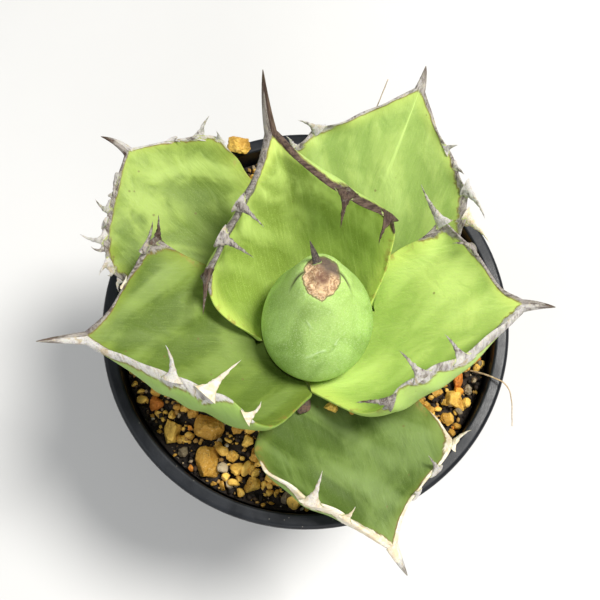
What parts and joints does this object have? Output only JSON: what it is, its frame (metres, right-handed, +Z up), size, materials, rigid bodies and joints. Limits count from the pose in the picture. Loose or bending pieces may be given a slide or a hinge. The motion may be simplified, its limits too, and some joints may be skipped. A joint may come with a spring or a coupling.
{
  "type": "potted agave",
  "caption": "Compact rosette succulent with broad green leaves, white horny teeth and a closed central bud, in a round black plastic nursery pot of gritty soil.",
  "frame": {"origin": "centre of the pot's flat underside, on the pot's axis", "axes": "+Z up along the pot's axis; +Y towards the back of the plant, where its tallest leaf points; +X to the right"},
  "size_m": [0.1311, 0.1399, 0.1599],
  "materials": {
    "leaf": "waxy matte leaf skin, mottled yellow-green, with grey-white horny margins, teeth and end spine",
    "bud": "waxy matte blue-green leaf skin with a dry tan scar and a dark thorn at the tip",
    "stem": "pale fibrous stem base and roots",
    "pot": "black moulded polypropylene, satin, with fine scratches and dust",
    "soil": "dark damp potting mix with fine grit",
    "akadama": "rough ochre baked clay and pumice grains",
    "baked_clay": "rough orange baked clay grains",
    "pumice": "rough grey-tan pumice grains",
    "straw": "dry grass straw",
    "dead_wood": "dark dead bark chip"
  },
  "bodies": {
    "root": {"leaf_inner_back": "leaf", "leaf_right": "leaf", "leaf_left": "leaf", "leaf_back_right": "leaf", "leaf_back_left": "leaf", "leaf_front": "leaf", "bud": "bud", "stem_and_roots": "stem", "pot": "pot", "stone_akadama_01": "akadama", "stone_akadama_02": "akadama", "stone_akadama_03": "akadama", "stone_akadama_04": "akadama", "stone_akadama_05": "akadama", "stone_akadama_06": "akadama", "stone_akadama_07": "akadama", "stone_akadama_08": "akadama", "stone_akadama_09": "akadama", "stone_akadama_10": "akadama", "stone_akadama_11": "akadama", "stone_akadama_12": "akadama", "stone_baked_clay_01": "baked_clay", "stone_baked_clay_02": "baked_clay", "stone_baked_clay_03": "baked_clay", "stone_baked_clay_04": "baked_clay", "stone_baked_clay_05": "baked_clay", "stone_pumice_01": "pumice", "stone_pumice_02": "pumice", "stone_pumice_03": "pumice", "stone_pumice_04": "pumice", "stone_pumice_05": "pumice", "stone_pumice_06": "pumice", "soil": "soil", "stone_on_leaf_1": "akadama", "stone_on_leaf_2": "akadama", "stone_on_rim": "akadama", "wood_chip": "dead_wood", "straw_right": "straw", "straw_back": "straw"}
  },
  "joints": []
}
